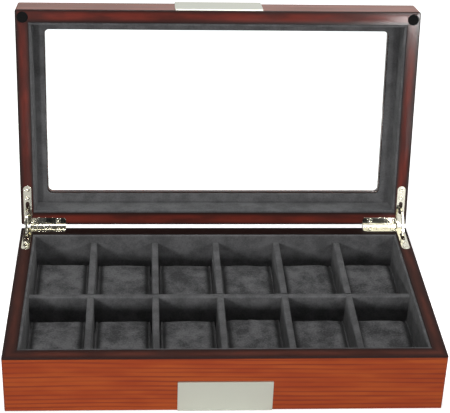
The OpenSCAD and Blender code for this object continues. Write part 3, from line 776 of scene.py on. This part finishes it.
# %% All the screws of a node in one piece
def screw_places(node_name, turn, head_z):
    """Middles of the heads: the corners that lie in the heads' plane, gathered round each head."""
    corners = corners_of(node_name, turn)
    in_plane = corners[np.abs(corners[:, 2] - head_z) < 0.01 * MM]
    places = []
    while len(in_plane):
        near = np.linalg.norm(in_plane[:, :2] - in_plane[0, :2], axis=1) < 2.1 * HEAD_R * MM
        places.append((in_plane[near].min(axis=0) + in_plane[near].max(axis=0)) / 2)
        in_plane = in_plane[~near]
    return sorted(places, key=tuple)


def add_screws(name, node_name, body, turn, head_z, flip, seed):
    """The grid, turned by an angle of its own at each place, and then moved into the opened lid."""
    random = np.random.default_rng(seed)
    points, faces = [], []
    for middle in screw_places(node_name, turn, head_z):
        a = random.uniform(0, math.pi / 2)
        spin = np.array([[math.cos(a), -math.sin(a), 0], [math.sin(a), math.cos(a), 0], [0, 0, 1]])
        faces += [[corner + len(points) for corner in face] for face in screw_faces]
        points += (grid.reshape(-1, 3) @ spin.T * MM * flip + middle).tolist()
    mesh = bpy.data.meshes.new(name)
    mesh.from_pydata(points, [], faces)
    mesh.transform(turn.inverted())
    mesh.shade_smooth()
    mesh.materials.append(nickel)
    return add_piece(name, mesh, body, "nickel", node_name)


add_screws("crossed_screws_base", "hinge_screws_base", "base", Matrix(), rim_z, (1, 1, 1), 5)
add_screws("crossed_screws_lid", "hinge_screws_lid", "lid", shut, lid_z, (1, -1, -1), 7)
print("pieces with crossed screws: 2")

# %% [markdown]
# The box stands on a plain white floor in a white studio. The white that the camera sees is not light:
# it is added for rays that come from the camera, a mirror or a pane alone, so the object keeps its
# tones. What the hinges mirror decides how they look. The left one mirrors a dim room and the right one
# a bright window, and whatever mirrors the far end of the studio shows it white.

# %% What the camera and the mirrors see
FLOOR_SIZE = 12.0
FLOOR_GLOW = 0.8
GLOW_STARTS, GLOW_FULL = 0.12, 0.3
FLOOR_GREY = (0.8, 0.8, 0.8, 1)
WHITE = (1, 1, 1, 1)


def white_rays(mat):
    """1 for rays from the camera or through a pane, and 1 for rays from a mirror."""
    path = node(mat, "LightPath", out="Is Camera Ray").node.outputs
    seen = node(mat, "Math", path["Is Camera Ray"], path["Is Transmission Ray"], operation="MAXIMUM")
    return seen, path["Is Glossy Ray"]


def white_floor():
    """A matt white floor, lifted for the camera so that only the object's shadow stays below white."""
    mat, shader = finish("white_floor", Base_Color=FLOOR_GREY, Roughness=0.9, Specular_IOR_Level=0.0)
    shader.inputs["Emission Color"].default_value = WHITE
    seen, mirrored = white_rays(mat)
    across = node(mat, "SeparateXYZ", node(mat, "TexCoord", out="Object"))
    at_right = node(mat, "MapRange", across, GLOW_STARTS, GLOW_FULL, **STEP)
    mirrored = node(mat, "Math", mirrored, at_right, operation="MULTIPLY")
    glow = node(mat, "Math", seen, mirrored, operation="MAXIMUM")
    feed(mat, shader, Emission_Strength=node(mat, "Math", glow, FLOOR_GLOW, operation="MULTIPLY"))
    return mat


half = FLOOR_SIZE / 2
corners = [(-half, -half, 0), (half, -half, 0), (half, half, 0), (-half, half, 0)]
floor_mesh = bpy.data.meshes.new("floor")
floor_mesh.from_pydata(corners, [], [(0, 1, 2, 3)])
floor_mesh.materials.append(white_floor())
floor = bpy.data.objects.new("floor", floor_mesh)
scene.collection.objects.link(floor)
floor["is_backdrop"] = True
print("floor", FLOOR_SIZE, "m wide")

# %% The studio round the box
FILL = 0.06
DIM_ROOM = 0.12
WINDOW = 3.4
BRIGHT_BACK = 1.1
WINDOW_STARTS, WINDOW_FULL = 0.06, 0.24
BACK_STARTS, BACK_FULL = 0.1, 0.75
world = bpy.data.worlds.new("white_studio")
scene.world = world
world.use_nodes = True
sky = world.node_tree.nodes["Background"]
sky.inputs["Color"].default_value = WHITE
seen, mirrored = white_rays(world)
across, toward, _ = node(world, "SeparateXYZ", node(world, "TexCoord", out="Generated")).node.outputs
room = node(world, "MapRange", across, WINDOW_STARTS, WINDOW_FULL, DIM_ROOM, WINDOW, **STEP)
at_back = node(world, "MapRange", toward, BACK_STARTS, BACK_FULL, **STEP)
room = node(world, "Mix", at_back, room, BRIGHT_BACK, **MIX_NUMBERS)
mirrored = node(world, "Math", mirrored, room, operation="MULTIPLY")
strength = node(world, "Math", seen, mirrored, operation="MAXIMUM")
strength = node(world, "Math", strength, FILL, operation="MAXIMUM")
world.node_tree.links.new(strength, sky.inputs["Strength"])
scene.view_settings.view_transform = "Standard"
print("light all round", FILL)

# %% [markdown]
# Two small lamps stand low in front, one on either side of the camera. They light the wood, and with
# the dividers' shadows they leave a lit wedge on the wall behind each cushion. The left one is the
# stronger. A larger lamp overhead lights what faces up, mostly the cushions and the dividers' edges,
# and leaves the compartments dark low down.

# %% Lamps: place and size in metres, and watts
LAMPS = {
    "left_softbox": ((-0.50, -1.30, 0.30), (0.13, 0.13), 9.1),
    "right_softbox": ((0.48, -1.30, 0.27), (0.15, 0.15), 5.8),
    "top_softbox": ((-0.05, -0.10, 1.6), (0.42, 0.36), 17.5),
}
aim = Vector((0, 0, 0.06))
for name, (spot, size, watts) in LAMPS.items():
    lamp = bpy.data.lights.new(name, "AREA")
    lamp.shape = "RECTANGLE"
    lamp.size, lamp.size_y = size
    lamp.energy = watts
    holder = bpy.data.objects.new(name, lamp)
    holder.location = spot
    holder.rotation_euler = (aim - Vector(spot)).to_track_quat("-Z", "Y").to_euler()
    scene.collection.objects.link(holder)
print("lamps", len(LAMPS))

# %% [markdown]
# The dressed box has to keep the size of the solids. Both boxes are written down to compare.

# %% Print the sizes
size = {"cad": [list(corner) for corner in cad_box], "visual": [list(corner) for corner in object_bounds()]}
print("size", size)
